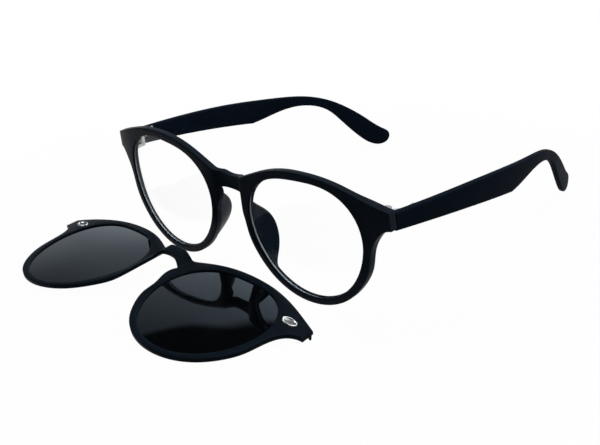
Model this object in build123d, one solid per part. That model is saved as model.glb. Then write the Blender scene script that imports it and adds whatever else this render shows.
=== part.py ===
from build123d import *
from math import atan, cos, degrees, radians, sin
import os

os.makedirs("parts", exist_ok=True)

# The glasses are drawn upright: x is across the face, y runs back from the
# front towards the ears and z is up, with z = 0 at the middle of the lenses.
# Left and right are the wearer's: left is +x.

# Lens opening: a panto outline around each lens centre, fuller below the
# middle on the cheek side and flatter at the brow
lens_centre = 35.0
lens_radius = 23.6
lens_waves = ((2, 0.044, 0.002), (3, -0.010, 0.042), (4, -0.012, -0.003))
rim_width = 2.95
rim_side_extra = 0.3

# Bow of the front seen from above
face_radius = 500.0
sweep_start = 57.0
sweep_run = 12.0
end_sweep = 1.5

# Glasses front
front_thickness = 2.9
end_thickening = 0.8
bridge_recess = 2.1
bridge_top = 14.8
bridge_underside = 9.6
end_outer = 69.4
end_low = 9.8

# Clear lenses in their groove
clear_lens_thickness = 1.6
clear_lens_set_in = 0.7
groove_depth = 0.9
fit_gap = 0.03

# Temples and their three-knuckle hinges
temple_thickness = 2.9
seam_gap = 0.2
hinge_x = 63.6
hinge_y = 12.4
hinge_z = 12.0
knuckle_radius = 1.7
knuckle_gap = 0.1
lug_height = 1.3
middle_knuckle_height = 2.6
screw_radius = 0.6
running_gap = 0.04
leaf_thickness = 0.9

# Clip-on
clip_thickness = 1.6
clip_end_sweep = 0.5
clip_arch = -3.2
clip_bridge_top = 18.3
clip_bridge_underside = 13.2
clip_end_outer = 70.15
tinted_lens_thickness = 0.8
tinted_lens_set_in = 0.6
hook_tip = 8.2
magnet_radius = 1.7
magnet_x = 61.8
magnet_z = 13.7

# How the set stands: front leaning back on its rims, clip face up before it
front_tilt = 5.39
front_height = 25.64
clip_place = (-17.82, -28.81, 6.54)
clip_yaw = -2.13
clip_pitch = 6.3

# Puts the middle of the whole set's box on the origin
set_shift = (8.11, -50.99)


def smooth_step(t):
    t = min(1.0, max(0.0, t))
    return t * t * (3.0 - 2.0 * t)


def bow(x, sweep_depth):
    sweep = max(0.0, (abs(x) - sweep_start) / sweep_run)
    return x * x / (2.0 * face_radius) + sweep_depth * sweep * sweep


def depth_line(x, depth, sweep_depth, step=0.0, reach=9.0, ramp=4.0, ends=0.0):
    # The step moves the middle back for a recessed bridge or forward for an
    # arch; ends adds depth towards the end pieces.
    middle = step * smooth_step((reach - abs(x)) / ramp)
    return bow(x, sweep_depth) + depth + middle + ends * smooth_step((abs(x) - 55.0) / 9.0)


def bow_band(near, far, sweep_depth, step=0.0, reach=9.0, ramp=4.0, ends=0.0):
    # A slab that follows the bow of the face, from depth near to depth far
    xs = [-72, -69.5, -67, -65, -63, -61, -59, -57, -55, -52, -46, -38, -28, -18, -13, -10]
    xs += [-8.5, -7, -5.8, -4.6, -3.4, -2, 0]
    xs += [-x for x in xs[-2::-1]]
    near_line = Spline(*[(x, depth_line(x, near, sweep_depth, step, reach, ramp)) for x in xs])
    far_line = Spline(*[(x, depth_line(x, far, sweep_depth, step, reach, ramp, ends)) for x in xs])
    sides = [Line(near_line @ 0, far_line @ 0), Line(near_line @ 1, far_line @ 1)]
    return Pos(0, 0, -50) * extrude(make_face([near_line, far_line] + sides), amount=100)


def lens_edge(angle, grow):
    a = radians(angle)
    wave = sum(c * cos(k * a) + s * sin(k * a) for k, c, s in lens_waves)
    r = lens_radius * (1.0 + wave) + grow
    return (lens_centre + r * cos(a), 0.0, r * sin(a))


def rim_edge(angle, trim=0.0):
    return lens_edge(angle, rim_width - trim + rim_side_extra * cos(2 * radians(angle)))


def lens_block(grow, near=-20.0, far=20.0):
    outline = Spline(*[lens_edge(a, grow) for a in range(0, 360, 15)], periodic=True)
    block = extrude(make_face(outline), amount=far - near, dir=(0, 1, 0))
    return Pos(0, near, 0) * block


def both_sides(shape):
    return [shape, mirror(shape, about=Plane.YZ)]


def rim_block(outer, low, lift, trim, brow, nose):
    # Half of the front seen from the front: rim, end piece and brow corner.
    # The brow points lead away from the bridge, the nose points up to it.
    top = Spline(*[(x, 0, z) for x, z in brow], (28, 0, 23.8 + lift), (36, 0, 24.3 + lift),
                 (44, 0, 23.9 + lift), (52, 0, 22.4 + lift), (60, 0, 19.9 + lift),
                 (outer - 0.3, 0, 16.4 + lift))
    side = [(outer, 0, low), (outer - 2.4, 0, low - 0.6), (65.1, 0, low - 2.6)]
    side += [rim_edge(a, trim) for a in (4, -14, -32, -50, -70, -90, -110, -130, -150, -168)]
    side += [(x, 0, z) for x, z in nose]
    lower = Spline(*side)
    edges = [top, Line(top @ 1, lower @ 0), lower, Line(lower @ 1, top @ 0)]
    return Pos(0, -20, 0) * extrude(make_face(edges), amount=40, dir=(0, 1, 0))


def bridge_block(underside, drop, top, corner, foot):
    # Strap between the rims; its ends run on inside the brow corners
    under = ThreePointArc((-foot, 0, underside - drop), (0, 0, underside), (foot, 0, underside - drop))
    over = ThreePointArc((-corner[0], 0, corner[1]), (0, 0, top), (corner[0], 0, corner[1]))
    ends = []
    for side in (-1, 1):
        inside = ((corner[0] + 2.2) * side, 0, corner[1] - 2.9)
        ends.append(Line((corner[0] * side, 0, corner[1]), inside))
        ends.append(Line(inside, (foot * side, 0, underside - drop)))
    face = make_face([under, over] + ends)
    return Pos(0, -20, 0) * extrude(face, amount=40, dir=(0, 1, 0))


def face_edges(shape, depth, *line_shape):
    # The edges that lie on the bowed surface at the given depth
    found = []
    for edge in shape.edges():
        spots = [edge @ t for t in (0.0, 0.25, 0.5, 0.75, 1.0)]
        if max(abs(p.Y - depth_line(p.X, depth, *line_shape)) for p in spots) < 0.04:
            found.append(edge)
    return found


def on_bow(x, depth, z, sweep_depth):
    rise = bow(x + 0.05, sweep_depth) - bow(x - 0.05, sweep_depth)
    return Pos(x, bow(x, sweep_depth) + depth, z) * Rot(0, 0, degrees(atan(rise / 0.1)))


def disc(radius, near, far):
    return Pos(0, (near + far) / 2, 0) * Rot(90, 0, 0) * Cylinder(radius, far - near)


# Glasses front: two rims, recessed bridge, end pieces and nose pads in one
# moulding
front_shape = (end_sweep, bridge_recess, 7.6, 3.6)
front_brow = ((5.8, 15.9), (12.5, 18.9), (20, 21.9))
front_nose = ((7.0, 1.2), (5.7, 6.0), (6.3, bridge_underside - 0.3))
rims = both_sides(rim_block(end_outer, end_low, 0.0, 0.0, front_brow, front_nose))
front = rims[0] + rims[1] + bridge_block(bridge_underside, 0.8, bridge_top, front_brow[0], 6.6)
front = front & bow_band(0.0, front_thickness, *front_shape, end_thickening)
for block in both_sides(lens_block(0.0)):
    front -= block
front = fillet(face_edges(front, 0.0, *front_shape), 0.55)
front = fillet(face_edges(front, front_thickness, *front_shape, end_thickening), 0.4)


def pad_section(z, root_x, tip_x, tip_y):
    # Level cut through a nose pad: wide root in the rim, round rear edge
    root_y = 1.2
    root_width = 3.0
    tip_radius = 1.05
    aim = Vector(tip_x - root_x - root_width / 2, tip_y - root_y).normalized()
    across = Vector(aim.Y, -aim.X)
    tip = Vector(tip_x, tip_y)
    round_centre = tip - aim * tip_radius
    lens_side = round_centre + across * tip_radius
    nose_side = round_centre - across * tip_radius
    lens_root = Vector(root_x + root_width, root_y)
    nose_root = Vector(root_x, root_y)
    nose_middle = (nose_root + nose_side) * 0.5 - across * 0.25
    lens_middle = (lens_root + lens_side) * 0.5 - across * 0.35
    edges = [ThreePointArc(nose_root, nose_middle, nose_side),
             ThreePointArc(nose_side, tip, lens_side),
             ThreePointArc(lens_side, lens_middle, lens_root),
             Line(lens_root, nose_root)]
    return (Pos(0, 0, z) * make_face(edges)).face()


pad_cuts = ((6.4, 6.4, 8.6, 4.2), (3.6, 6.6, 9.9, 6.5), (0.0, 7.3, 11.0, 9.5),
            (-5.0, 8.5, 12.3, 11.0), (-10.0, 10.4, 14.2, 9.8), (-14.0, 13.0, 15.9, 6.9),
            (-18.0, 16.6, 18.4, 4.0))
nose_pad = loft([pad_section(*cut) for cut in pad_cuts])
for pad in both_sides(nose_pad):
    front += pad

groove_near = clear_lens_set_in - fit_gap
groove_far = clear_lens_set_in + clear_lens_thickness + fit_gap
groove_band = bow_band(groove_near, groove_far, end_sweep)
lens_band = bow_band(clear_lens_set_in, clear_lens_set_in + clear_lens_thickness, end_sweep)
for block in both_sides(lens_block(groove_depth + fit_gap)):
    front -= block & groove_band

# Recess for the hinge leaf in the back of each end piece, and the magnet
# pocket under it
leaf_place = on_bow(62.4, front_thickness + 0.9 * end_thickening, hinge_z, end_sweep)
leaf_recess = leaf_place * Box(5.5, 2 * leaf_thickness, 5.5)
magnet_place = on_bow(magnet_x, 0.0, magnet_z, end_sweep)
magnet_pocket = magnet_place * disc(magnet_radius + fit_gap, 0.9, 3.4)
for cut in both_sides(leaf_recess) + both_sides(magnet_pocket):
    front -= cut

clear_lens = lens_block(groove_depth) & lens_band
frame_magnet = magnet_place * disc(magnet_radius, 0.95, 2.4)

# Front hinge leaf: plate let into the end piece with two lugs behind it
lug_offset = (middle_knuckle_height + lug_height) / 2 + knuckle_gap
bore = Pos(hinge_x, hinge_y, hinge_z) * Cylinder(screw_radius + fit_gap, 12)
plate = leaf_place * Pos(0, -leaf_thickness / 2, 0) * Box(5.44, leaf_thickness, 5.44)
front_leaf = plate
for side in (-1, 1):
    lug_z = hinge_z + side * lug_offset
    knuckle = Pos(hinge_x, hinge_y, lug_z) * Cylinder(knuckle_radius, lug_height)
    arm = Pos(hinge_x - 0.3, hinge_y - 2.4, lug_z) * Box(2.6, 4.8, lug_height)
    front_leaf += knuckle + arm
front_leaf -= bore

# Screw: countersunk head with a straight slot, shank through the knuckles
stack_half = lug_offset + lug_height / 2
head_height = 0.6
head = Pos(0, 0, stack_half - head_height / 2) * Cone(screw_radius, 1.15, head_height)
head_seat = Pos(0, 0, stack_half - head_height / 2) * Cone(screw_radius + fit_gap, 1.2, head_height)
shank = Pos(0, 0, -0.2) * Cylinder(screw_radius, 2 * stack_half - 0.4)
slot = Pos(0, 0, stack_half) * Box(3.0, 0.3, 0.5)
screw = Pos(hinge_x, hinge_y, hinge_z) * (head + shank - slot)
front_leaf -= Pos(hinge_x, hinge_y, hinge_z) * head_seat

# Temple: bowed sheet seen from above, cut to the side outline
temple_line = ((6, 67.4), (14, 68.3), (24, 69.1), (36, 69.7), (50, 69.9), (64, 69.6), (78, 68.6),
               (90, 67.2), (100, 65.6), (110, 63.5), (120, 61.0), (130, 58.3), (140, 55.2),
               (150, 52.0), (160, 48.7))


def temple_face_line(offset):
    return Spline(*[(x + offset * (1.0 - 0.0013 * y), y) for y, x in temple_line])


outer_line = temple_face_line(temple_thickness / 2)
inner_line = temple_face_line(-temple_thickness / 2)
ends = [Line(outer_line @ 0, inner_line @ 0), Line(outer_line @ 1, inner_line @ 1)]
sheet = Pos(0, 0, -10) * extrude(make_face([outer_line, inner_line] + ends), amount=40, both=True)

rear = Spline((0, 6, 15.7), (0, 36, 11.7), (0, 66, 6.9), (0, 90, 2.0), (0, 101, -0.4),
              (0, 111, -3.2), (0, 121, -7.5), (0, 131, -14.0), (0, 142, -23.4), (0, 151, -31.5),
              (0, 154.8, -35.8), (0, 153.8, -38.7), (0, 149.5, -39.85), (0, 144.4, -37.9),
              (0, 139.2, -33.3), (0, 133.8, -27.2), (0, 128.2, -20.3), (0, 122.2, -13.8),
              (0, 115, -9.3), (0, 107, -6.6), (0, 98, -5.5), (0, 88, -5.8), (0, 78, -6.1))
under_front = Spline((0, 78, -6.1), (0, 40, 2.7), (0, 6, 9.4))
outline = [rear, under_front, Line(under_front @ 1, rear @ 0)]
side_block = extrude(make_face(outline), amount=90, dir=(1, 0, 0))
temple = sheet & side_block
temple -= bow_band(-30, front_thickness + seam_gap, end_sweep, ends=end_thickening)
long_edges = [e for e in temple.edges() if e.length > 20]
temple = fillet(long_edges, 0.7)

# Temple hinge leaf: plate in the temple's inner face, one knuckle between
# the lugs
inner_x = 67.65
temple_plate_y = 17.6
temple_recess = Pos(inner_x, temple_plate_y, hinge_z) * Rot(0, 0, -4.5) * Box(1.5, 8.06, 3.06)
temple_plate = Pos(inner_x, temple_plate_y, hinge_z) * Rot(0, 0, -4.5) * Box(1.44, 8.0, 3.0)
knuckle = Pos(hinge_x, hinge_y, hinge_z) * Cylinder(knuckle_radius, middle_knuckle_height)
arm_face = make_face(Polyline((hinge_x - 0.2, hinge_y + 1.6), (hinge_x + 1.5, hinge_y - 0.6),
                              (67.0, 13.7), (68.0, 17.4), (66.8, 17.4), close=True))
arm = Pos(0, 0, hinge_z - middle_knuckle_height / 2) * extrude(arm_face, amount=middle_knuckle_height)
temple_bore = Pos(hinge_x, hinge_y, hinge_z) * Cylinder(screw_radius + running_gap, 12)
temple_leaf = temple_plate + knuckle + arm - temple_bore
temple -= temple_recess
temple -= arm

# Clip-on frame: the front's outline with an arched bridge, pockets and
# locating hooks
clip_shape = (clip_end_sweep, clip_arch, 9.4, 5.8)
clip_brow = ((7.8, 17.5), (13.0, 19.8), (20.5, 22.6))
clip_nose = ((8.0, -1.0), (6.9, 4.0), (6.7, 7.6), (7.3, clip_bridge_underside - 2.5))
rims = both_sides(rim_block(clip_end_outer, end_low + 1.4, 0.3, 0.15, clip_brow, clip_nose))
clip = rims[0] + rims[1]
clip += bridge_block(clip_bridge_underside, 2.9, clip_bridge_top, clip_brow[0], 7.6)
clip = clip & bow_band(0.0, clip_thickness, *clip_shape)
for block in both_sides(lens_block(0.0)):
    clip -= block
clip = fillet(face_edges(clip, 0.0, *clip_shape), 0.4)
clip = fillet(face_edges(clip, clip_thickness, *clip_shape), 0.2)
tinted_near = tinted_lens_set_in
tinted_far = tinted_lens_set_in + tinted_lens_thickness
clip_groove = bow_band(tinted_near - fit_gap, tinted_far + fit_gap, clip_end_sweep)
for block in both_sides(lens_block(groove_depth + fit_gap)):
    clip -= block & clip_groove
tinted_lens = lens_block(groove_depth) & bow_band(tinted_near, tinted_far, clip_end_sweep)

# Hook: thin pointed tab at the brow corner that reaches back past the
# end piece
hook_outline = make_face(Polyline((0, 5.7, 13.6), (0, 5.7, 15.9), (0, hook_tip, 15.3),
                                  (0, hook_tip, 14.7), close=True))
hook = Pos(clip_end_outer - 0.5, 0, 0) * extrude(hook_outline, amount=0.5, dir=(1, 0, 0))
for side in both_sides(hook):
    clip += side

# Rivet cap: oval, raised rim around a dished middle, let into the clip
cap_place = on_bow(magnet_x - 0.2, 0.0, magnet_z + 0.5, clip_end_sweep)
cap_let_in = 0.4
cap_face = Rot(90, 0, 0) * Ellipse(3.2, 1.75)
cap_body = Pos(0, cap_let_in, 0) * extrude(cap_face, amount=cap_let_in + 0.42, dir=(0, -1, 0))
cap_front = cap_body.faces().sort_by(Axis.Y)[0]
cap_body = fillet(cap_front.edges(), 0.22)
dish = Pos(0, -4.07, 0) * scale(Sphere(1.0), by=(2.5, 4.0, 1.15))
rivet_cap = cap_place * (cap_body - dish)
pocket_face = Rot(90, 0, 0) * Ellipse(3.2 + fit_gap, 1.75 + fit_gap)
cap_pocket = Pos(0, cap_let_in + fit_gap, 0) * extrude(pocket_face, amount=3, dir=(0, -1, 0))
clip_magnet_place = on_bow(magnet_x, 0.0, magnet_z, clip_end_sweep)
clip_magnet = clip_magnet_place * disc(magnet_radius, clip_thickness - 0.9, clip_thickness - 0.05)
magnet_seat = disc(magnet_radius + fit_gap, clip_thickness - 0.93, clip_thickness + 1)
for cut in both_sides(cap_place * cap_pocket) + both_sides(clip_magnet_place * magnet_seat):
    clip -= cut

# Stand the glasses on their rims and temple tips, lay the clip before them
glasses_stand = Pos(*set_shift, front_height) * Rot(front_tilt, 0, 0)
clip_lie = Pos(*set_shift, 0) * Pos(*clip_place) * Rot(0, 0, clip_yaw) * Rot(clip_pitch, 0, 0) * Rot(-90, 0, 0)

export_step(glasses_stand * front, "parts/frame_front.step")
export_step(clip_lie * clip, "parts/clip_frame.step")
paired = ((clear_lens, "lens", glasses_stand), (temple, "temple", glasses_stand),
          (front_leaf, "front_hinge", glasses_stand), (temple_leaf, "temple_hinge", glasses_stand),
          (screw, "hinge_screw", glasses_stand), (frame_magnet, "frame_magnet", glasses_stand),
          (tinted_lens, "tinted_lens", clip_lie), (clip_magnet, "clip_magnet", clip_lie),
          (rivet_cap, "rivet_cap", clip_lie))
for shape, name, place in paired:
    left, right = both_sides(shape)
    export_step(place * left, "parts/left_" + name + ".step")
    export_step(place * right, "parts/right_" + name + ".step")
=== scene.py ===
from math import atan, atan2, cos, pi, radians, sin

import bmesh
import bpy
from mathutils import Matrix, Vector


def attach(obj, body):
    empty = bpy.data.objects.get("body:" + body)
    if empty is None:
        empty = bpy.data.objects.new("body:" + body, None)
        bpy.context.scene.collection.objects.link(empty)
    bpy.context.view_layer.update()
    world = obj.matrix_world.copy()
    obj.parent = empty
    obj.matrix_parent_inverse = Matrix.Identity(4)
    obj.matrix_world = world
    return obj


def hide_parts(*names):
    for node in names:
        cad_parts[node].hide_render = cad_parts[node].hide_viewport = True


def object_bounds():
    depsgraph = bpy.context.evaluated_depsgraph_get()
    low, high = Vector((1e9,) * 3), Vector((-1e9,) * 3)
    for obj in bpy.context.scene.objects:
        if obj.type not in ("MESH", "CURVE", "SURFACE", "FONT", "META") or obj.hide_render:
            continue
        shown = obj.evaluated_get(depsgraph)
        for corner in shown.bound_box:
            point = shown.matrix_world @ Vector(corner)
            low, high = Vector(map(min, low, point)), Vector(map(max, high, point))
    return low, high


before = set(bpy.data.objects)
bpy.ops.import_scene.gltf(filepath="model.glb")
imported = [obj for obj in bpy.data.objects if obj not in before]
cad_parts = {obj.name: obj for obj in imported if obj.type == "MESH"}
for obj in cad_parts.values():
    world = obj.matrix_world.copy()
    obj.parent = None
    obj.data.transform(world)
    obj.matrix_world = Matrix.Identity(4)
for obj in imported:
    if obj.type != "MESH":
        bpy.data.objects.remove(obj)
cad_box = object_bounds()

# Glasses front: two rims, bridge, end pieces and nose pads, moulded in one from
# near-black nylon; tumbled, which leaves its faces finely grained and its edges
# soft, and smoother on the pads that lie on the nose
SET_SHIFT = Vector((8.11, -50.99, 0.0))
FRONT_HEIGHT, FRONT_TILT = 25.64, radians(5.39)
MILLIMETRE = 0.001
IN_METRES = Matrix.Scale(MILLIMETRE, 4)
GLASSES = (IN_METRES @ Matrix.Translation(SET_SHIFT + Vector((0, 0, FRONT_HEIGHT)))
           @ Matrix.Rotation(FRONT_TILT, 4, "X"))
MOULDING_SHARP_OVER = 32


def mesh_from(bm, name, sharp_over):
    """Mesh of a finished bmesh, smooth but for edges that turn by more than sharp_over."""
    for face in bm.faces:
        face.smooth = True
    for edge in bm.edges:
        edge.smooth = edge.calc_face_angle(0.0) < radians(sharp_over)
    mesh = bpy.data.meshes.new(name)
    bm.to_mesh(mesh)
    bm.free()
    return mesh


def welded_copy(node, name, sharp_over):
    """Copy of a CAD node with its loose triangles joined."""
    bm = bmesh.new()
    bm.from_mesh(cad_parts[node].data)
    bmesh.ops.remove_doubles(bm, verts=bm.verts, dist=1e-6)
    return mesh_from(bm, name, sharp_over)


def piece_from(mesh, node, body, slot, *materials):
    """Puts a finished mesh into the scene on its body, in place of a CAD node."""
    for material in materials:
        mesh.materials.append(material)
    obj = bpy.data.objects.new(mesh.name, mesh)
    bpy.context.scene.collection.objects.link(obj)
    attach(obj, body)
    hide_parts(node)


def feed(tree, slot, value):
    """Links a socket to an input, or sets the input to a plain value."""
    if isinstance(value, bpy.types.NodeSocket):
        tree.links.new(value, slot)
    else:
        slot.default_value = value


def math_node(tree, operation, *values):
    """Result of a Math node on sockets and plain numbers."""
    node = tree.nodes.new("ShaderNodeMath")
    node.operation = operation
    for slot, value in zip(node.inputs, values):
        feed(tree, slot, value)
    return node.outputs[0]


def vector_math(tree, operation, *values):
    """Single number that a Vector Math node gives for sockets and plain vectors."""
    node = tree.nodes.new("ShaderNodeVectorMath")
    node.operation = operation
    for slot, value in zip(node.inputs, values):
        feed(tree, slot, value)
    return node.outputs["Value"]


def colour_mix(tree, factor, first, second):
    """Colour that goes from first to second while the factor goes from 0 to 1."""
    node = tree.nodes.new("ShaderNodeMix")
    node.data_type = "RGBA"
    tree.links.new(factor, node.inputs["Factor"])
    slots = {slot.identifier: slot for slot in [*node.inputs, *node.outputs]}
    feed(tree, slots["A_Color"], first)
    feed(tree, slots["B_Color"], second)
    return slots["Result_Color"]


def ramp(tree, value, low, high, out_low, out_high):
    """Smooth change from out_low to out_high while value goes from low to high."""
    node = tree.nodes.new("ShaderNodeMapRange")
    node.interpolation_type = "SMOOTHSTEP"
    tree.links.new(value, node.inputs["Value"])
    node.inputs["From Min"].default_value = low
    node.inputs["From Max"].default_value = high
    node.inputs["To Min"].default_value = out_low
    node.inputs["To Max"].default_value = out_high
    return node.outputs["Result"]


def object_point(tree):
    """Place of the surface point in metres, which rides with its piece."""
    return tree.nodes.new("ShaderNodeTexCoord").outputs["Object"]


def noise(tree, where, scale, detail=2.0, roughness=0.5):
    """Noise value around 0.5 at the given scale per metre."""
    node = tree.nodes.new("ShaderNodeTexNoise")
    node.inputs["Scale"].default_value = scale
    node.inputs["Detail"].default_value = detail
    node.inputs["Roughness"].default_value = roughness
    tree.links.new(where, node.inputs["Vector"])
    return node.outputs["Fac"]


def bumped(tree, shader, height, strength, depth):
    """Feeds a height through a Bump node to the shader's normal."""
    bump = tree.nodes.new("ShaderNodeBump")
    bump.inputs["Strength"].default_value = strength
    bump.inputs["Distance"].default_value = depth
    tree.links.new(height, bump.inputs["Height"])
    tree.links.new(bump.outputs["Normal"], shader.inputs["Normal"])


def new_material(name, plain):
    """Material with its node tree and Principled shader, set to plain values."""
    material = bpy.data.materials.new(name)
    material.use_nodes = True
    shader = material.node_tree.nodes["Principled BSDF"]
    for label, value in plain.items():
        shader.inputs[label].default_value = value
    return material, material.node_tree, shader


# Skin of the moulded nylon, which the front, the temples and the clip share
moulded = bpy.data.node_groups.new("moulded_nylon", "ShaderNodeTree")
for label, kind in (("Dark", "Color"), ("Light", "Color"), ("Edge Width", "Float"),
                    ("Matte", "Float"), ("Polish", "Float"), ("Roughness Left", "Float")):
    moulded.interface.new_socket(label, in_out="INPUT", socket_type="NodeSocket" + kind)
for label, kind in (("Color", "Color"), ("Roughness", "Float"), ("Height", "Float")):
    moulded.interface.new_socket(label, in_out="OUTPUT", socket_type="NodeSocket" + kind)
inside = moulded.nodes.new("NodeGroupInput").outputs
outside = moulded.nodes.new("NodeGroupOutput").inputs
where = object_point(moulded)
GRAIN_SCALE, SPECKLE_SCALE, HANDLING_SCALE, MELT_FLOW_SCALE = 5200, 1500, 120, 35
grain = noise(moulded, where, GRAIN_SCALE, detail=2.0, roughness=0.6)
speckle = noise(moulded, where, SPECKLE_SCALE)
handling = noise(moulded, where, HANDLING_SCALE, detail=4.0, roughness=0.55)
melt_flow = noise(moulded, where, MELT_FLOW_SCALE)

# An edge is where the normal of a rounded surface would leave the real normal
rounded = moulded.nodes.new("ShaderNodeBevel")
rounded.samples = 4
moulded.links.new(inside["Edge Width"], rounded.inputs["Radius"])
unrounded = moulded.nodes.new("ShaderNodeNewGeometry").outputs["Normal"]
likeness = vector_math(moulded, "DOT_PRODUCT", rounded.outputs["Normal"], unrounded)
edge_mask = ramp(moulded, likeness, low=0.82, high=1.0, out_low=1.0, out_high=0.0)
# The edge mask marks real wear, which lowers the roughness, and a painted highlight, which lightens
# the colour
LEAST_EDGE_WEAR_AND_HIGHLIGHT = 0.35
edge_wear_and_highlight = math_node(moulded, "MULTIPLY", edge_mask, math_node(moulded, "ADD", LEAST_EDGE_WEAR_AND_HIGHLIGHT, handling))

# Lighter where it flowed in and at the speckles; lighter at the edges too, partly from wear and
# partly as a painted highlight along the rounded edges
SPECKLE_TONE, FLOW_TONE, WEAR_AND_HIGHLIGHT_TONE = 0.25, 0.3, 0.55
tone = math_node(moulded, "MULTIPLY", melt_flow, FLOW_TONE)
tone = math_node(moulded, "MULTIPLY_ADD", speckle, SPECKLE_TONE, tone)
tone = math_node(moulded, "MINIMUM", math_node(moulded, "MULTIPLY_ADD", edge_wear_and_highlight, WEAR_AND_HIGHLIGHT_TONE, tone), 1.0)
moulded.links.new(colour_mix(moulded, tone, inside["Dark"], inside["Light"]), outside["Color"])

# Smoother where fingers and edges rub, with a little change from grain to grain
HANDLING_LEVEL, HANDLING_GAIN, SPECKLE_ROUGHNESS, SPECKLE_HEIGHT = 0.45, 1.2, 0.12, 0.6
rubbed = math_node(moulded, "SUBTRACT", handling, HANDLING_LEVEL)
rubbed = math_node(moulded, "MULTIPLY_ADD", rubbed, HANDLING_GAIN, edge_wear_and_highlight)
polished = math_node(moulded, "MULTIPLY", inside["Polish"], rubbed)
rough = math_node(moulded, "SUBTRACT", inside["Matte"], polished)
uneven = math_node(moulded, "SUBTRACT", speckle, 0.5)
rough = math_node(moulded, "MULTIPLY_ADD", uneven, SPECKLE_ROUGHNESS, rough)
rough = math_node(moulded, "MULTIPLY", rough, inside["Roughness Left"])
moulded.links.new(rough, outside["Roughness"])
moulded.links.new(math_node(moulded, "MULTIPLY_ADD", speckle, SPECKLE_HEIGHT, grain),
                  outside["Height"])

# Width of the edge band that carries wear and a painted highlight
EDGE_WEAR_AND_HIGHLIGHT_WIDTH, EDGE_POLISH, GRAIN_STRENGTH, GRAIN_DEPTH = 0.0006, 0.14, 0.35, 0.00003
COOL_SHEEN = (0.72, 0.87, 1.0, 1)


def nylon(name, dark, light, matte, gloss):
    """Moulded nylon, and its surface node, whose roughness a mask can lower."""
    material, tree, shader = new_material(name, {"Specular IOR Level": gloss,
                                                 "Specular Tint": COOL_SHEEN})
    surface = tree.nodes.new("ShaderNodeGroup")
    surface.node_tree = moulded
    surface.inputs["Dark"].default_value = dark
    surface.inputs["Light"].default_value = light
    surface.inputs["Edge Width"].default_value = EDGE_WEAR_AND_HIGHLIGHT_WIDTH
    surface.inputs["Matte"].default_value = matte
    surface.inputs["Polish"].default_value = EDGE_POLISH
    surface.inputs["Roughness Left"].default_value = 1.0
    tree.links.new(surface.outputs["Color"], shader.inputs["Base Color"])
    tree.links.new(surface.outputs["Roughness"], shader.inputs["Roughness"])
    bumped(tree, shader, surface.outputs["Height"], GRAIN_STRENGTH, GRAIN_DEPTH)
    return material, surface


FRAME_DARK, FRAME_LIGHT = (0.0018, 0.0038, 0.0078, 1), (0.009, 0.0135, 0.0205, 1)
front_nylon, surface = nylon("front_nylon", FRAME_DARK, FRAME_LIGHT, matte=0.42, gloss=0.03)

# The pads' polish fades out with the distance from a pad's middle; both sides
# are folded onto one, so that one middle serves for the two
PAD_CENTRE = GLASSES @ Vector((11.5, 7.5, -4.0))
MIDDLE_X = SET_SHIFT.x * MILLIMETRE
tree = front_nylon.node_tree
axes = tree.nodes.new("ShaderNodeSeparateXYZ")
tree.links.new(object_point(tree), axes.inputs[0])
folded = tree.nodes.new("ShaderNodeCombineXYZ")
from_middle = math_node(tree, "SUBTRACT", axes.outputs["X"], MIDDLE_X)
tree.links.new(math_node(tree, "ABSOLUTE", from_middle), folded.inputs["X"])
tree.links.new(axes.outputs["Y"], folded.inputs["Y"])
tree.links.new(axes.outputs["Z"], folded.inputs["Z"])
reach = vector_math(tree, "DISTANCE", folded.outputs[0],
                    (PAD_CENTRE.x - MIDDLE_X, PAD_CENTRE.y, PAD_CENTRE.z))
tree.links.new(ramp(tree, reach, low=0.008, high=0.016, out_low=0.6, out_high=1.0),
               surface.inputs["Roughness Left"])
piece_from(welded_copy("frame_front", "glasses_front_moulding", MOULDING_SHARP_OVER),
           "frame_front", "glasses_front", "frame_plastic", front_nylon)

# Temples: arms of the same nylon, straight to the ear, then a knee, a thin
# neck and a flared tip; each is hinged to the front's end piece and shines
# less than the front
temple_nylon, _ = nylon("temple_nylon", FRAME_DARK, FRAME_LIGHT, matte=0.44, gloss=0.003)
for side in ("left", "right"):
    piece_from(welded_copy(side + "_temple", side + "_temple_arm_moulding", MOULDING_SHARP_OVER),
               side + "_temple", side + "_temple_arm", "frame_plastic", temple_nylon)

# Clear lenses: hard-coated blanks with an anti-reflection film, cut to the
# opening; their ground edge follows the bow of the face and snaps into the rim's
# groove from behind, and the middle stands proud of the edge
LENS_CENTRE, LENS_RADIUS, EDGE_IN_GROOVE = 35.0, 23.6, 0.78
LENS_WAVES = ((2, 0.044, 0.002), (3, -0.010, 0.042), (4, -0.012, -0.003))
FACE_RADIUS, SWEEP_START, SWEEP_RUN, FRONT_END_SWEEP = 500.0, 57.0, 12.0, 1.5
LENS_SHARP_OVER = 40
CLEAR_SET_IN, CLEAR_THICKNESS, CLEAR_RISE = 0.7, 1.6, 0.5
FILMED_LENS_IOR = 1.12


def face_bow(x, end_sweep):
    """Depth of the bowed face at x, and its slope there."""
    sweep = max(0.0, (x - SWEEP_START) / SWEEP_RUN)
    depth = x * x / (2 * FACE_RADIUS) + end_sweep * sweep * sweep
    slope = x / FACE_RADIUS + 2 * end_sweep * sweep / SWEEP_RUN
    return depth, slope


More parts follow.
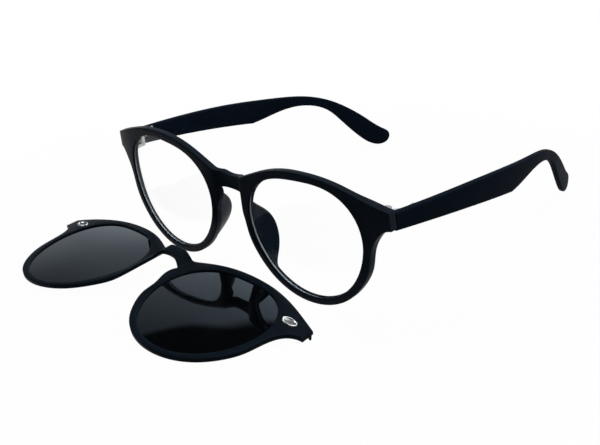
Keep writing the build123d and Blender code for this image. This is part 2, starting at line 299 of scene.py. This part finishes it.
def lens_blank(name, side, place, set_in, thickness, middle_rise, end_sweep):
    """Lens cut to the opening, each face a fan of triangles; its edge is material 1."""
    bm = bmesh.new()
    bmesh.ops.create_circle(bm, cap_ends=True, segments=128, radius=1.0)
    bmesh.ops.poke(bm, faces=bm.faces[:])
    back = bmesh.ops.extrude_face_region(bm, geom=bm.faces[:])["geom"]
    back = [part for part in back if isinstance(part, bmesh.types.BMVert)]
    bmesh.ops.translate(bm, verts=back, vec=(0, 0, -thickness))
    bmesh.ops.recalc_face_normals(bm, faces=bm.faces[:])
    for face in bm.faces:
        if abs(face.normal.z) < 0.5:
            face.material_index = 1

    mirrored = -1 if side == "right" else 1
    for vert in bm.verts:
        out = Vector(vert.co[:2]).length
        angle = atan2(vert.co.y, vert.co.x)
        wave = sum(c * cos(k * angle) + s * sin(k * angle) for k, c, s in LENS_WAVES)
        edge_radius = LENS_RADIUS * (1.0 + wave) + EDGE_IN_GROOVE
        x = LENS_CENTRE + out * edge_radius * cos(angle)
        rise = middle_rise * (1.0 - out)
        depth = set_in - vert.co.z + face_bow(x, end_sweep)[0] - rise
        vert.co = place @ Vector((mirrored * x, depth, out * edge_radius * sin(angle)))
    # Known fault: this leaves the faces of the right tinted lens pointing inwards
    bmesh.ops.recalc_face_normals(bm, faces=bm.faces[:])
    return mesh_from(bm, name, LENS_SHARP_OVER)


clear, tree, shader = new_material("clear_lens", {"Base Color": (0.997, 1.0, 0.999, 1),
                                                  "Transmission Weight": 1.0,
                                                  "IOR": FILMED_LENS_IOR})
haze = noise(tree, object_point(tree), scale=90, detail=3.0)
tree.links.new(ramp(tree, haze, low=0.5, high=0.75, out_low=0.0, out_high=0.012),
               shader.inputs["Roughness"])
through = tree.nodes.new("ShaderNodeBsdfTransparent")
through.inputs["Color"].default_value = (0.96, 0.97, 0.97, 1)
ray = tree.nodes.new("ShaderNodeLightPath")
shadow_free = tree.nodes.new("ShaderNodeMixShader")
tree.links.new(ray.outputs["Is Shadow Ray"], shadow_free.inputs["Fac"])
tree.links.new(shader.outputs["BSDF"], shadow_free.inputs[1])
tree.links.new(through.outputs["BSDF"], shadow_free.inputs[2])
tree.links.new(shadow_free.outputs["Shader"], tree.nodes["Material Output"].inputs["Surface"])

ground, tree, shader = new_material("ground_lens_edge", {"Base Color": (0.3, 0.34, 0.37, 1)})
grinding = noise(tree, object_point(tree), scale=2400, detail=3.0)
tree.links.new(ramp(tree, grinding, low=0.3, high=0.7, out_low=0.2, out_high=0.4),
               shader.inputs["Roughness"])
bumped(tree, shader, grinding, strength=0.2, depth=0.00001)
for side in ("left", "right"):
    blank = lens_blank(side + "_clear_lens", side, GLASSES, CLEAR_SET_IN, CLEAR_THICKNESS,
                       CLEAR_RISE, FRONT_END_SWEEP)
    piece_from(blank, side + "_lens", "glasses_front", "clear_lens", clear, ground)

# Hinges: three-knuckle barrel hinges of stamped steel, tumbled dull, with one
# leaf in the end piece, one in the temple and a slotted screw through both
HINGE_SHARP_OVER = 35
steel, tree, shader = new_material("hinge_steel", {"Base Color": (0.42, 0.41, 0.40, 1),
                                                   "Metallic": 1.0})
where = object_point(tree)
tumbling = noise(tree, where, scale=420, detail=3.0)
tree.links.new(ramp(tree, tumbling, low=0.3, high=0.7, out_low=0.2, out_high=0.42),
               shader.inputs["Roughness"])
pitting = noise(tree, where, scale=2600, detail=3.0, roughness=0.6)
bumped(tree, shader, pitting, strength=0.4, depth=0.00002)
for side in ("left", "right"):
    for node, name, holder in (("_front_hinge", "_hinge_front_leaf", "glasses_front"),
                               ("_temple_hinge", "_hinge_temple_leaf", side + "_temple_arm"),
                               ("_hinge_screw", "_hinge_slot_screw", "glasses_front")):
        piece_from(welded_copy(side + node, side + name, HINGE_SHARP_OVER), side + node, holder,
                   "hinge_steel", steel)

# Clip-on frame: thinner moulding of the same nylon in the front's outline, with
# an arched bridge and a pointed locating hook at each outer end; it lies face up
# in front of the glasses, on its lenses' lower edges
CLIP_PLACE, CLIP_YAW, CLIP_PITCH = Vector((-17.82, -28.81, 6.54)), radians(-2.13), radians(6.3)
LAID_FACE_UP = Matrix.Rotation(radians(-90), 4, "X")
CLIP = (IN_METRES @ Matrix.Translation(SET_SHIFT + CLIP_PLACE)
        @ Matrix.Rotation(CLIP_YAW, 4, "Z") @ Matrix.Rotation(CLIP_PITCH, 4, "X") @ LAID_FACE_UP)
CLIP_DARK, CLIP_LIGHT = (0.0014, 0.0034, 0.0062, 1), (0.0075, 0.012, 0.0175, 1)
clip_nylon, _ = nylon("clip_nylon", CLIP_DARK, CLIP_LIGHT, matte=0.38, gloss=0.02)
piece_from(welded_copy("clip_frame", "clip_frame_moulding", MOULDING_SHARP_OVER), "clip_frame",
           "clip_on", "clip_plastic", clip_nylon)

# Tinted lenses: near-black polished sheet with a bluish film, whose middle
# stands proud of its edge, snapped into the clip's groove
CLIP_END_SWEEP = 0.5
TINTED_SET_IN, TINTED_THICKNESS, TINTED_RISE = 0.6, 0.8, 1.0
tinted, tree, shader = new_material("tinted_lens", {"Base Color": (0.0012, 0.0014, 0.0018, 1),
                                                    "Specular IOR Level": 0.6,
                                                    "Specular Tint": (0.6, 0.82, 1.0, 1)})
where = object_point(tree)
smudge = noise(tree, where, scale=70, detail=4.0, roughness=0.55)
tree.links.new(ramp(tree, smudge, low=0.4, high=0.8, out_low=0.015, out_high=0.07),
               shader.inputs["Roughness"])
bumped(tree, shader, noise(tree, where, scale=60), strength=0.15, depth=0.00002)
for side in ("left", "right"):
    blank = lens_blank(side + "_dark_lens", side, CLIP, TINTED_SET_IN, TINTED_THICKNESS,
                       TINTED_RISE, CLIP_END_SWEEP)
    piece_from(blank, side + "_tinted_lens", "clip_on", "tinted_lens", tinted, tinted)

# Rivet caps: ovals pressed from plated sheet, with a bright raised rim round a duller dished
# middle, let into the clip's end pieces over the magnets;
# the middle's darker metal colour is painted shade for the hollow
CAP_HALF_LENGTH, CAP_HALF_HEIGHT, CAP_LET_IN = 3.2, 1.75, 0.4
CAP_X, CAP_Z, CAP_SHARP_OVER = 61.6, 14.2, 50
INSETS_AND_RISES = ((0.0, 0.58), (0.05, 0.1), (0.08, 0.08), (0.1, 0.04), (0.12, 0.0),
                    (0.1, -0.05), (0.08, -0.1))
SHRINKS_AND_DIPS = ((0.9, -0.09), (0.8, -0.07), (0.7, -0.05), (0.5, -0.03))
chrome, tree, shader = new_material("cap_chrome", {"Metallic": 1.0})
where = object_point(tree)
plating = colour_mix(tree, noise(tree, where, scale=500, detail=3.0),
                     (0.58, 0.57, 0.55, 1), (0.76, 0.75, 0.73, 1))
tree.links.new(plating, shader.inputs["Base Color"])
lengthwise = tree.nodes.new("ShaderNodeMapping")
lengthwise.inputs["Scale"].default_value = (1.0, 6.0, 6.0)
tree.links.new(where, lengthwise.inputs["Vector"])
scratches = noise(tree, lengthwise.outputs["Vector"], scale=1200, detail=4.0, roughness=0.65)
tree.links.new(ramp(tree, scratches, low=0.35, high=0.75, out_low=0.14, out_high=0.24),
               shader.inputs["Roughness"])
bumped(tree, shader, scratches, strength=0.06, depth=0.000006)

# Darker copy of the plated metal for the dished middle: painted shade for its hollow
dish_painted_shade, tree, shader = new_material("cap_dish_painted_shade", {"Base Color": (0.17, 0.175, 0.17, 1),
                                               "Metallic": 1.0})
where = object_point(tree)
mottling = noise(tree, where, scale=900, detail=3.0)
tree.links.new(ramp(tree, mottling, low=0.3, high=0.7, out_low=0.2, out_high=0.34),
               shader.inputs["Roughness"])
bumped(tree, shader, noise(tree, where, scale=2600), strength=0.1, depth=0.00001)
for side, mirrored in (("left", 1), ("right", -1)):
    bm = bmesh.new()
    bmesh.ops.create_circle(bm, cap_ends=True, segments=64, radius=1.0)
    bmesh.ops.scale(bm, vec=(CAP_HALF_LENGTH, CAP_HALF_HEIGHT, 1), verts=bm.verts)
    top = bmesh.ops.extrude_face_region(bm, geom=bm.faces[:], use_keep_orig=True)["geom"]
    top = [part for part in top if isinstance(part, bmesh.types.BMFace)]
    for inset, rise in INSETS_AND_RISES:
        if inset:
            bmesh.ops.inset_region(bm, faces=top, thickness=inset, use_even_offset=True)
        bmesh.ops.translate(bm, verts=top[0].verts, vec=(0, 0, rise))
    for shrink, dip in SHRINKS_AND_DIPS:
        bmesh.ops.inset_region(bm, faces=top, thickness=0.0)
        bmesh.ops.scale(bm, vec=(shrink, shrink, 1), verts=top[0].verts)
        bmesh.ops.translate(bm, verts=top[0].verts, vec=(0, 0, dip))
        top[0].material_index = 1
    bmesh.ops.poke(bm, faces=top)
    depth, slope = face_bow(CAP_X, CLIP_END_SWEEP)
    seat = (CLIP @ Matrix.Translation((mirrored * CAP_X, depth, CAP_Z))
            @ Matrix.Rotation(mirrored * atan(slope), 4, "Z")
            @ Matrix.Translation((0, CAP_LET_IN, 0)) @ Matrix.Rotation(radians(90), 4, "X"))
    bmesh.ops.transform(bm, matrix=seat, verts=bm.verts)
    bmesh.ops.recalc_face_normals(bm, faces=bm.faces[:])
    piece_from(mesh_from(bm, side + "_oval_cap", CAP_SHARP_OVER), side + "_rivet_cap",
               "clip_on", "cap_chrome", chrome, dish_painted_shade)

# Magnets: nickel-plated discs pressed into blind pockets in the end pieces of
# the front and of the clip; they are the CAD's own discs with a plated finish
nickel, tree, shader = new_material("magnet_nickel", {"Base Color": (0.6, 0.58, 0.54, 1),
                                                      "Metallic": 1.0})
where = object_point(tree)
mottling = noise(tree, where, scale=900)
tree.links.new(ramp(tree, mottling, low=0.3, high=0.7, out_low=0.16, out_high=0.34),
               shader.inputs["Roughness"])
pitting = noise(tree, where, scale=3200, detail=3.0)
bumped(tree, shader, pitting, strength=0.2, depth=0.00001)
for side in ("left", "right"):
    for node in ("_frame_magnet", "_clip_magnet"):
        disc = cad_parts[side + node].data
        disc.materials.clear()
        disc.materials.append(nickel)

# Table: pale paper, shown white to the eye, to the lenses and to the metal, with
# a part of its own shading left near the object, which keeps the faint shadow
FLOOR_RADIUS, UNDER_OBJECT = 6.0, 0.00002
scene = bpy.context.scene
scene.view_settings.view_transform = "Standard"
bm = bmesh.new()
bmesh.ops.create_circle(bm, cap_ends=True, segments=96, radius=FLOOR_RADIUS)
bmesh.ops.translate(bm, verts=bm.verts, vec=(0, 0, cad_box[0][2] - UNDER_OBJECT))
floor_mesh = bpy.data.meshes.new("floor")
bm.to_mesh(floor_mesh)
bm.free()
floor = bpy.data.objects.new("floor", floor_mesh)
scene.collection.objects.link(floor)
paper, tree, shader = new_material("floor_paper", {"Base Color": (0.5, 0.5, 0.5, 1),
                                                   "Roughness": 0.9,
                                                   "Specular IOR Level": 0.0})
white = tree.nodes.new("ShaderNodeEmission")
away = vector_math(tree, "LENGTH", object_point(tree))
whiteness = ramp(tree, away, low=0.1, high=0.25, out_low=0.975, out_high=1.0)
ray = tree.nodes.new("ShaderNodeLightPath").outputs
seen = math_node(tree, "MAXIMUM", ray["Is Camera Ray"], ray["Is Transmission Ray"])
seen = math_node(tree, "MAXIMUM", seen, ray["Is Glossy Ray"])
blend = tree.nodes.new("ShaderNodeMixShader")
tree.links.new(math_node(tree, "MULTIPLY", seen, whiteness), blend.inputs["Fac"])
tree.links.new(shader.outputs["BSDF"], blend.inputs[1])
tree.links.new(white.outputs["Emission"], blend.inputs[2])
tree.links.new(blend.outputs["Shader"], tree.nodes["Material Output"].inputs["Surface"])
floor_mesh.materials.append(paper)

# Room: white to the eye and through the clear lenses; in what mirrors it, it is
# bright low behind the object, fades all round and ends overhead at a dark
# ceiling, as the tinted lenses show it
GLOW_TOWARDS, GLOW_RISE, GLOW_LEVEL = Vector((0.28, 0.904, -0.324)), 7.26, 0.48
CEILING_TOWARDS, LEAST_GLOW = Vector((-0.239, -0.188, 1.0)), 0.012
world = bpy.data.worlds.new("white_surround")
scene.world = world
world.use_nodes = True
tree = world.node_tree
surround = tree.nodes["Background"]
surround.inputs["Color"].default_value = (0.86, 0.93, 1.0, 1)
direction = tree.nodes.new("ShaderNodeTexCoord").outputs["Generated"]
to_glow = vector_math(tree, "DOT_PRODUCT", direction, GLOW_TOWARDS.normalized())
glow = math_node(tree, "EXPONENT", math_node(tree, "MULTIPLY", to_glow, GLOW_RISE))
glow = math_node(tree, "MINIMUM", math_node(tree, "MULTIPLY", glow, GLOW_LEVEL), 1.0)
to_ceiling = vector_math(tree, "DOT_PRODUCT", direction, CEILING_TOWARDS.normalized())
under_ceiling = ramp(tree, to_ceiling, low=0.731, high=0.75, out_low=1.0, out_high=0.0)
glow = math_node(tree, "MULTIPLY", glow, under_ceiling)
tree.links.new(math_node(tree, "MAXIMUM", glow, LEAST_GLOW), surround.inputs["Strength"])
backdrop = tree.nodes.new("ShaderNodeBackground")
backdrop.inputs["Color"].default_value = (1, 1, 1, 1)
ray = tree.nodes.new("ShaderNodeLightPath").outputs
unmirrored = math_node(tree, "LESS_THAN", ray["Glossy Depth"], 0.5)
straight_through = math_node(tree, "MULTIPLY", ray["Is Transmission Ray"], unmirrored)
pick = tree.nodes.new("ShaderNodeMixShader")
tree.links.new(math_node(tree, "MAXIMUM", ray["Is Camera Ray"], straight_through),
               pick.inputs["Fac"])
tree.links.new(surround.outputs["Background"], pick.inputs[1])
tree.links.new(backdrop.outputs["Background"], pick.inputs[2])
tree.links.new(pick.outputs["Shader"], tree.nodes["World Output"].inputs["Surface"])

# Lamps: four soft boxes, the strongest overhead, one at each side and one
# behind, none of them where the clip's lenses would mirror it to the camera
LAMP_COLOUR = (0.92, 0.96, 1.0)


def soft_lamp(name, azimuth, elevation, distance, width, power):
    """Square soft lamp aimed at the object, placed by its direction in degrees."""
    lamp = bpy.data.lights.new(name, "AREA")
    lamp.shape = "SQUARE"
    lamp.size = width
    lamp.energy = power
    lamp.color = LAMP_COLOUR
    level = cos(radians(elevation))
    spot = Vector((level * sin(radians(azimuth)), -level * cos(radians(azimuth)),
                   sin(radians(elevation))))
    obj = bpy.data.objects.new(name, lamp)
    obj.matrix_world = (Matrix.Translation(spot * distance)
                        @ spot.to_track_quat("Z", "Y").to_matrix().to_4x4())
    scene.collection.objects.link(obj)


soft_lamp("overhead_lamp", azimuth=180, elevation=82, distance=0.9, width=0.6, power=6.0)
soft_lamp("left_lamp", azimuth=-62, elevation=38, distance=1.0, width=0.4, power=1.6)
soft_lamp("right_lamp", azimuth=112, elevation=42, distance=1.0, width=0.4, power=0.6)
soft_lamp("back_lamp", azimuth=176, elevation=30, distance=1.0, width=0.4, power=1.5)

# Camera: at the photograph's viewing angle, aimed at a point in the glasses'
# front, with the focal length that gives the photograph's perspective
AZIMUTH, ELEVATION, ROLL = radians(43.79), radians(23.71), radians(-2.18)
AIMED_AT, DISTANCE, FOCAL_LENGTH = Vector((34.98, 0.0, 32.087)), 0.324347, 57.515
camera_data = bpy.data.cameras.new("camera")
camera_data.lens = FOCAL_LENGTH
camera_data.sensor_width = 36.0
camera_data.clip_start = 0.01
camera = bpy.data.objects.new("camera", camera_data)
target = (SET_SHIFT + AIMED_AT) * MILLIMETRE
toward_camera = Vector((sin(AZIMUTH) * cos(ELEVATION), -cos(AZIMUTH) * cos(ELEVATION),
                        sin(ELEVATION)))
camera.matrix_world = (Matrix.Translation(target + toward_camera * DISTANCE)
                       @ Matrix.Rotation(AZIMUTH, 4, "Z")
                       @ Matrix.Rotation(pi / 2 - ELEVATION, 4, "X")
                       @ Matrix.Rotation(ROLL, 4, "Z"))
scene.collection.objects.link(camera)
scene.camera = camera
